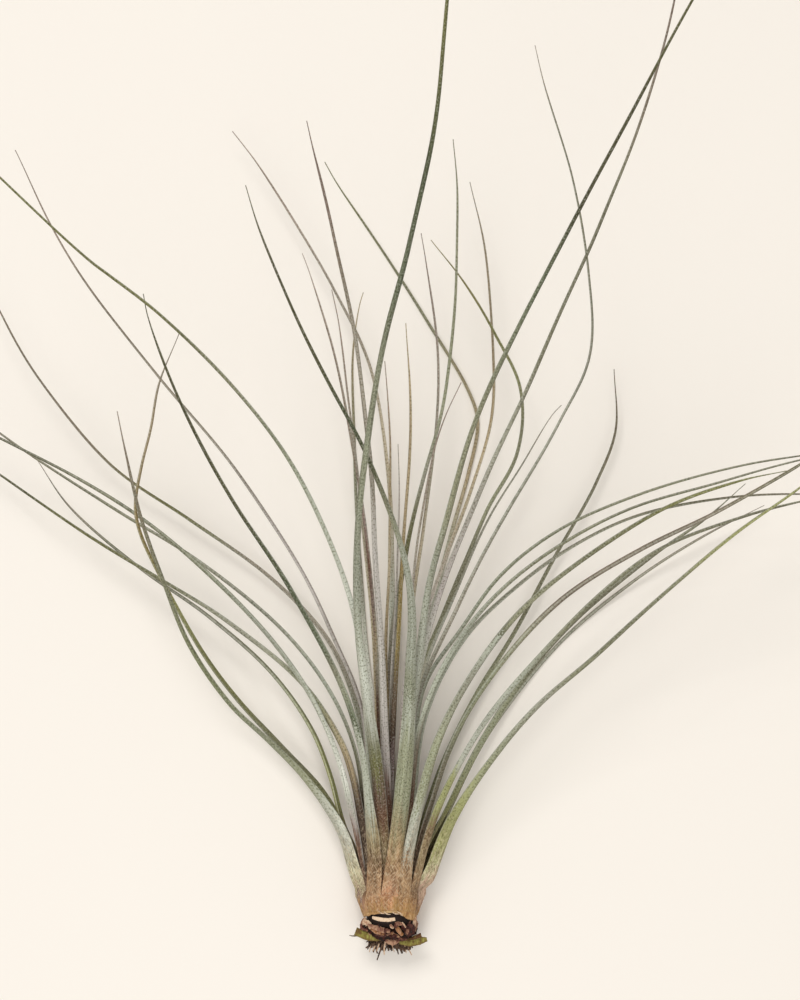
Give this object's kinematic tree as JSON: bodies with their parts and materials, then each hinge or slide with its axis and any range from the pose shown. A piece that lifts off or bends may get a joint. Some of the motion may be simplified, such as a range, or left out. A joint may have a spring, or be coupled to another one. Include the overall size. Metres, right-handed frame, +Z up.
{
  "type": "juncea air plant",
  "caption": "Rush-leaved air plant lying on its side: long thin grey-green leaves fan from a short brown rootstock with torn old leaf bases and a small root tuft.",
  "frame": {"origin": "middle of the plant's box in plan, on the surface that it lies on", "axes": "+Y along the plant from its rootstock to its leaf tips, +Z up from the surface, +X to the right when seen from above with the tips up"},
  "size_m": [0.3544, 0.3754, 0.1663],
  "materials": {
    "leaf_silver": "matt grey-green leaf felted with fine silvery scales",
    "leaf_green": "matt dark green leaf with a thin veil of grey scales",
    "leaf_olive": "matt olive to yellow-green leaf",
    "leaf_lilac": "matt grey leaf with a faint lilac-brown flush",
    "stem": "smooth orange-brown leaf bases and rootstock",
    "scrap": "dry papery brown scrap, satin",
    "stub": "olive cut leaf stub with brown edges",
    "roots": "dark dry wiry roots, matt"
  },
  "bodies": {
    "root": {"leaf_left_reach": "leaf_olive", "leaf_left_thin_reach": "leaf_lilac", "leaf_left_low_reach": "leaf_lilac", "leaf_left_wide": "leaf_silver", "leaf_left_wide_under": "leaf_silver", "leaf_left_olive": "leaf_olive", "leaf_left_straight": "leaf_silver", "leaf_left_hook": "leaf_olive", "leaf_left_outer": "leaf_green", "leaf_front_left": "leaf_green", "leaf_crown_tall": "leaf_green", "leaf_crown_front": "leaf_green", "leaf_crown_low_left": "leaf_olive", "leaf_crown_lilac": "leaf_lilac", "leaf_crown_red": "leaf_lilac", "leaf_crown_tan": "leaf_olive", "leaf_crown_bowed": "leaf_silver", "leaf_crown_needle": "leaf_silver", "leaf_crown_yellow": "leaf_olive", "leaf_crown_short": "leaf_lilac", "leaf_right_bow": "leaf_silver", "leaf_right_low_bow": "leaf_olive", "leaf_right_needle": "leaf_olive", "leaf_right_back_bow": "leaf_silver", "leaf_right_green_bow": "leaf_silver", "leaf_right_faint": "leaf_lilac", "leaf_right_tall": "leaf_green", "leaf_right_tall_lilac": "leaf_lilac", "leaf_right_crook": "leaf_lilac", "leaf_right_crook_short": "leaf_silver", "leaf_right_slant": "leaf_olive", "leaf_right_sweep_top": "leaf_silver", "leaf_right_sweep_mid": "leaf_silver", "leaf_right_sweep_low": "leaf_silver", "leaf_right_light": "leaf_silver", "leaf_right_olive": "leaf_olive", "leaf_right_brown_base": "leaf_silver", "leaf_right_green_wide": "leaf_silver", "leaf_right_low_slant": "leaf_silver", "leaf_right_outer": "leaf_olive", "stem": "stem", "scrap_left": "scrap", "scrap_right": "scrap", "stub_left": "stub", "stub_right": "stub", "roots": "roots"}
  },
  "joints": []
}
